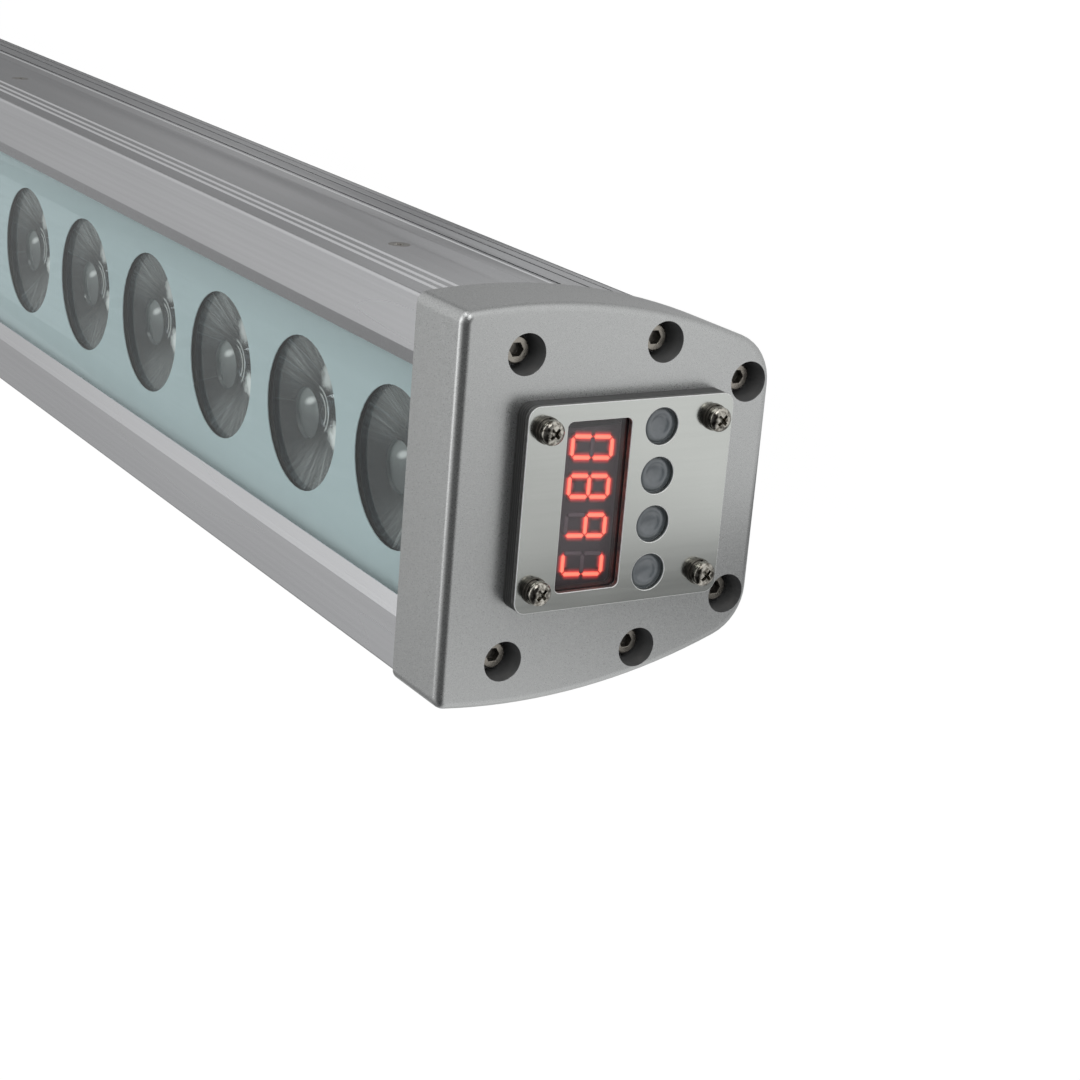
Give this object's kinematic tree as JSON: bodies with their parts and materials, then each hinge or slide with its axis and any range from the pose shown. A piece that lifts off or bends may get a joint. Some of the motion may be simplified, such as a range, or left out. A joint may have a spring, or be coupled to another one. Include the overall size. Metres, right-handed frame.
{
  "type": "wall washer bar light",
  "caption": "Long extruded bar light that washes a wall, with a row of lenses behind glass, an end panel with a digit display and buttons, and tilting feet.",
  "frame": {"origin": "centre of the lamp's box at ground level, under its feet", "axes": "+X along the bar to the control panel, +Z the way the light goes, +Y across the bar"},
  "size_m": [1.0284, 0.078, 0.1025],
  "materials": {
    "bar_anodised": "satin anodised",
    "cap_paint": "sparkling silver powder coat",
    "glass_clear": "clear toughened",
    "mask_print": "pale blue-green enamel print",
    "black_rubber": "matt black silicone",
    "white_board": "white solder mask",
    "green_board": "green solder mask",
    "led_yellow": "phosphor and clear dome",
    "lens_acrylic": "clear acrylic",
    "holder_black": "black moulded",
    "screw_steel": "bright stainless",
    "screw_dark": "blackened steel",
    "supply_case": "folded sheet case",
    "board_parts": "mixed components",
    "brass_legs": "turned",
    "ribbon_grey": "flat ribbon cable",
    "display_black": "black epoxy case",
    "lit_red": "glowing segments",
    "unlit_grey": "unlit segments",
    "pane_clear": "clear window pane",
    "panel_steel": "satin stainless",
    "button_grey": "translucent grey silicone",
    "gland_black": "black nylon",
    "bracket_steel": "satin stainless",
    "friction_black": "black fibre"
  },
  "bodies": {
    "housing": {"main_extrusion": "bar_anodised", "front_glass": "glass_clear", "glass_mask": "mask_print", "glass_seals": "black_rubber", "led_board": "white_board", "leds": "led_yellow", "tir_lenses": "lens_acrylic", "lens_holders": "holder_black", "led_board_screws": "screw_steel", "side_screws": "screw_steel", "power_supply": "supply_case", "driver_board": "green_board", "driver_parts": "board_parts", "driver_standoffs": "brass_legs", "ribbon_cable": "ribbon_grey", "display_end_cap": "cap_paint", "display_cap_seal": "black_rubber", "display_cap_screws": "screw_dark", "cable_end_cap": "cap_paint", "cable_cap_seal": "black_rubber", "cable_cap_screws": "screw_dark", "control_board": "green_board", "control_board_screws": "screw_steel", "display_module": "display_black", "lit_segments": "lit_red", "dark_segments": "unlit_grey", "tact_switches": "display_black", "display_pane": "pane_clear", "panel_seal": "black_rubber", "control_panel": "panel_steel", "panel_washers": "screw_steel", "panel_spring_washers": "screw_steel", "panel_screws": "screw_steel", "gland_washers": "black_rubber", "gland_bodies": "gland_black", "gland_inserts": "black_rubber", "gland_nuts": "gland_black", "gland_lock_nuts": "gland_black", "rail_bolts": "screw_steel", "rail_washers": "screw_steel", "rail_nuts": "screw_steel", "saddle_cable_end": "bracket_steel", "saddle_display_end": "bracket_steel", "tilt_washers": "friction_black", "pivot_bolts": "screw_steel", "pivot_washers": "screw_steel", "pivot_nuts": "screw_steel"},
    "button_1": {"button_1": "button_grey", "plunger_1": "display_black"},
    "button_2": {"button_2": "button_grey", "plunger_2": "display_black"},
    "button_3": {"button_3": "button_grey", "plunger_3": "display_black"},
    "button_4": {"button_4": "button_grey", "plunger_4": "display_black"},
    "foot_cable_end": {"foot_cable_end": "bracket_steel"},
    "foot_display_end": {"foot_display_end": "bracket_steel"}
  },
  "joints": [
    {"name": "press_button_1", "type": "slide", "parent": "housing", "child": "button_1", "axis": [-1, 0, 0], "range_m": [0, 0.0006], "stiffness_N_per_m": 2000},
    {"name": "press_button_2", "type": "slide", "parent": "housing", "child": "button_2", "axis": [-1, 0, 0], "range_m": [0, 0.0006], "stiffness_N_per_m": 2000},
    {"name": "press_button_3", "type": "slide", "parent": "housing", "child": "button_3", "axis": [-1, 0, 0], "range_m": [0, 0.0006], "stiffness_N_per_m": 2000},
    {"name": "press_button_4", "type": "slide", "parent": "housing", "child": "button_4", "axis": [-1, 0, 0], "range_m": [0, 0.0006], "stiffness_N_per_m": 2000},
    {"name": "tilt_cable_end_foot", "type": "hinge", "parent": "housing", "child": "foot_cable_end", "pos_m": [-0.24305, 0, 0.014], "axis": [1, 0, 0], "range_deg": [-45, 90]},
    {"name": "tilt_display_end_foot", "type": "hinge", "parent": "housing", "child": "foot_display_end", "pos_m": [0.25695, 0, 0.014], "axis": [1, 0, 0], "range_deg": [-45, 90]}
  ]
}
